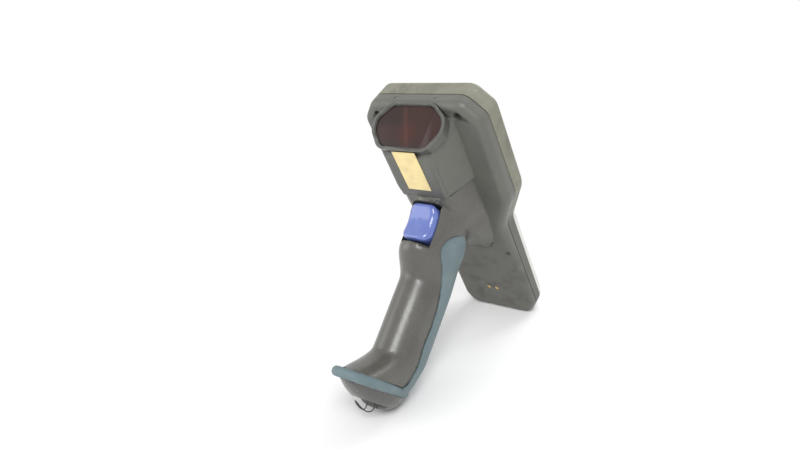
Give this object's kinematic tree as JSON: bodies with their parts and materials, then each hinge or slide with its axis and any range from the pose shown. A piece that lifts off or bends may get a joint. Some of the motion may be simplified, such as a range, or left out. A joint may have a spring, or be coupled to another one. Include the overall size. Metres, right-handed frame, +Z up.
{
  "type": "portable barcode data terminal",
  "caption": "Gun-grip handheld data terminal with a scan window in the nose, a hinged trigger, a keypad and display face and a cord loop on the grip's foot.",
  "frame": {"origin": "centre of the bounding box's bottom, on the surface where the grip's foot and the tail rest", "axes": "+Z up, +X across the terminal, +Y from the scan head's side towards the tail edge on the floor"},
  "size_m": [0.1024, 0.226, 0.215],
  "materials": {
    "khaki_plastic": "worn satin",
    "dark_plastic": "fine moulded satin",
    "cap_plastic": "smooth dark",
    "teal_rubber": "matt",
    "red_glass": "dark red tinted",
    "display_glass": "clear",
    "panel_plastic": "flat grey green",
    "blue_plastic": "glossy periwinkle",
    "label_film": "blank film",
    "pale_plastic": "satin",
    "gasket_rubber": "dark",
    "board": "circuit board",
    "steel": "turned",
    "contact_brass": "plated",
    "battery_wrap": "wrapped cell",
    "mirror_glass": "polished",
    "cast_aluminium": "cast",
    "switch_plastic": "moulded",
    "cord_fabric": "braided",
    "key_rubber": "moulded keys"
  },
  "bodies": {
    "terminal": {"front_cover": "khaki_plastic", "display_window": "display_glass", "lcd_panel": "panel_plastic", "housing_gasket": "gasket_rubber", "keypad_bezel": "pale_plastic", "keypad_mat": "gasket_rubber", "main_board": "board", "battery_pack": "battery_wrap", "side_screws": "steel", "lower_screws": "steel", "charge_contacts": "contact_brass", "end_screws": "steel", "scan_head": "dark_plastic", "window_hood": "dark_plastic", "scan_window": "red_glass", "back_housing": "dark_plastic", "label_plate": "label_film", "scan_chassis": "cast_aluminium", "laser_module": "contact_brass", "light_collector": "mirror_glass", "scan_board": "board", "grip_shell": "dark_plastic", "grip_strap": "teal_rubber", "base_cap": "cap_plastic", "cap_screw": "steel", "trigger_pin": "steel", "trigger_spring": "steel", "trigger_switch": "switch_plastic", "tether_cord": "cord_fabric"},
    "key_1": {"key_1": "key_rubber"},
    "key_2": {"key_2": "key_rubber"},
    "key_3": {"key_3": "key_rubber"},
    "key_escape": {"key_escape": "key_rubber"},
    "key_4": {"key_4": "key_rubber"},
    "key_5": {"key_5": "key_rubber"},
    "key_6": {"key_6": "key_rubber"},
    "key_back": {"key_back": "key_rubber"},
    "key_7": {"key_7": "key_rubber"},
    "key_8": {"key_8": "key_rubber"},
    "key_9": {"key_9": "key_rubber"},
    "key_tab": {"key_tab": "key_rubber"},
    "key_star": {"key_star": "key_rubber"},
    "key_0": {"key_0": "key_rubber"},
    "key_hash": {"key_hash": "key_rubber"},
    "key_enter": {"key_enter": "key_rubber"},
    "key_left": {"key_left": "key_rubber"},
    "key_scan": {"key_scan": "key_rubber"},
    "key_right": {"key_right": "key_rubber"},
    "power_key": {"power_key": "key_rubber"},
    "trigger": {"trigger": "blue_plastic"},
    "scan_mirror": {"scan_mirror": "mirror_glass"}
  },
  "joints": [
    {"name": "trigger_pull", "type": "hinge", "parent": "terminal", "child": "trigger", "pos_m": [0, 0.00697, 0.12075], "axis": [1, 0, 0], "range_deg": [0, 7], "stiffness_Nm_per_rad": 0.3, "springref_deg": -8.59},
    {"name": "mirror_sweep", "type": "hinge", "parent": "terminal", "child": "scan_mirror", "pos_m": [-0.0065, -0.00019, 0.17206], "axis": [0, 0.9224, 0.3862], "range_deg": [-12, 12], "stiffness_Nm_per_rad": 0.002},
    {"name": "key_1_press", "type": "slide", "parent": "terminal", "child": "key_1", "axis": [0, -0.9224, -0.3862], "range_m": [0, 0.0012], "stiffness_N_per_m": 800},
    {"name": "key_2_press", "type": "slide", "parent": "terminal", "child": "key_2", "axis": [0, -0.9224, -0.3862], "range_m": [0, 0.0012], "stiffness_N_per_m": 800},
    {"name": "key_3_press", "type": "slide", "parent": "terminal", "child": "key_3", "axis": [0, -0.9224, -0.3862], "range_m": [0, 0.0012], "stiffness_N_per_m": 800},
    {"name": "key_escape_press", "type": "slide", "parent": "terminal", "child": "key_escape", "axis": [0, -0.9224, -0.3862], "range_m": [0, 0.0012], "stiffness_N_per_m": 800},
    {"name": "key_4_press", "type": "slide", "parent": "terminal", "child": "key_4", "axis": [0, -0.9224, -0.3862], "range_m": [0, 0.0012], "stiffness_N_per_m": 800},
    {"name": "key_5_press", "type": "slide", "parent": "terminal", "child": "key_5", "axis": [0, -0.9224, -0.3862], "range_m": [0, 0.0012], "stiffness_N_per_m": 800},
    {"name": "key_6_press", "type": "slide", "parent": "terminal", "child": "key_6", "axis": [0, -0.9224, -0.3862], "range_m": [0, 0.0012], "stiffness_N_per_m": 800},
    {"name": "key_back_press", "type": "slide", "parent": "terminal", "child": "key_back", "axis": [0, -0.9224, -0.3862], "range_m": [0, 0.0012], "stiffness_N_per_m": 800},
    {"name": "key_7_press", "type": "slide", "parent": "terminal", "child": "key_7", "axis": [0, -0.9224, -0.3862], "range_m": [0, 0.0012], "stiffness_N_per_m": 800},
    {"name": "key_8_press", "type": "slide", "parent": "terminal", "child": "key_8", "axis": [0, -0.9224, -0.3862], "range_m": [0, 0.0012], "stiffness_N_per_m": 800},
    {"name": "key_9_press", "type": "slide", "parent": "terminal", "child": "key_9", "axis": [0, -0.9224, -0.3862], "range_m": [0, 0.0012], "stiffness_N_per_m": 800},
    {"name": "key_tab_press", "type": "slide", "parent": "terminal", "child": "key_tab", "axis": [0, -0.9224, -0.3862], "range_m": [0, 0.0012], "stiffness_N_per_m": 800},
    {"name": "key_star_press", "type": "slide", "parent": "terminal", "child": "key_star", "axis": [0, -0.9224, -0.3862], "range_m": [0, 0.0012], "stiffness_N_per_m": 800},
    {"name": "key_0_press", "type": "slide", "parent": "terminal", "child": "key_0", "axis": [0, -0.9224, -0.3862], "range_m": [0, 0.0012], "stiffness_N_per_m": 800},
    {"name": "key_hash_press", "type": "slide", "parent": "terminal", "child": "key_hash", "axis": [0, -0.9224, -0.3862], "range_m": [0, 0.0012], "stiffness_N_per_m": 800},
    {"name": "key_enter_press", "type": "slide", "parent": "terminal", "child": "key_enter", "axis": [0, -0.9224, -0.3862], "range_m": [0, 0.0012], "stiffness_N_per_m": 800},
    {"name": "key_left_press", "type": "slide", "parent": "terminal", "child": "key_left", "axis": [0, -0.9224, -0.3862], "range_m": [0, 0.0012], "stiffness_N_per_m": 800},
    {"name": "key_scan_press", "type": "slide", "parent": "terminal", "child": "key_scan", "axis": [0, -0.9224, -0.3862], "range_m": [0, 0.0012], "stiffness_N_per_m": 800},
    {"name": "key_right_press", "type": "slide", "parent": "terminal", "child": "key_right", "axis": [0, -0.9224, -0.3862], "range_m": [0, 0.0012], "stiffness_N_per_m": 800},
    {"name": "power_key_press", "type": "slide", "parent": "terminal", "child": "power_key", "axis": [0, -0.9224, -0.3862], "range_m": [0, 0.0008], "stiffness_N_per_m": 800}
  ]
}
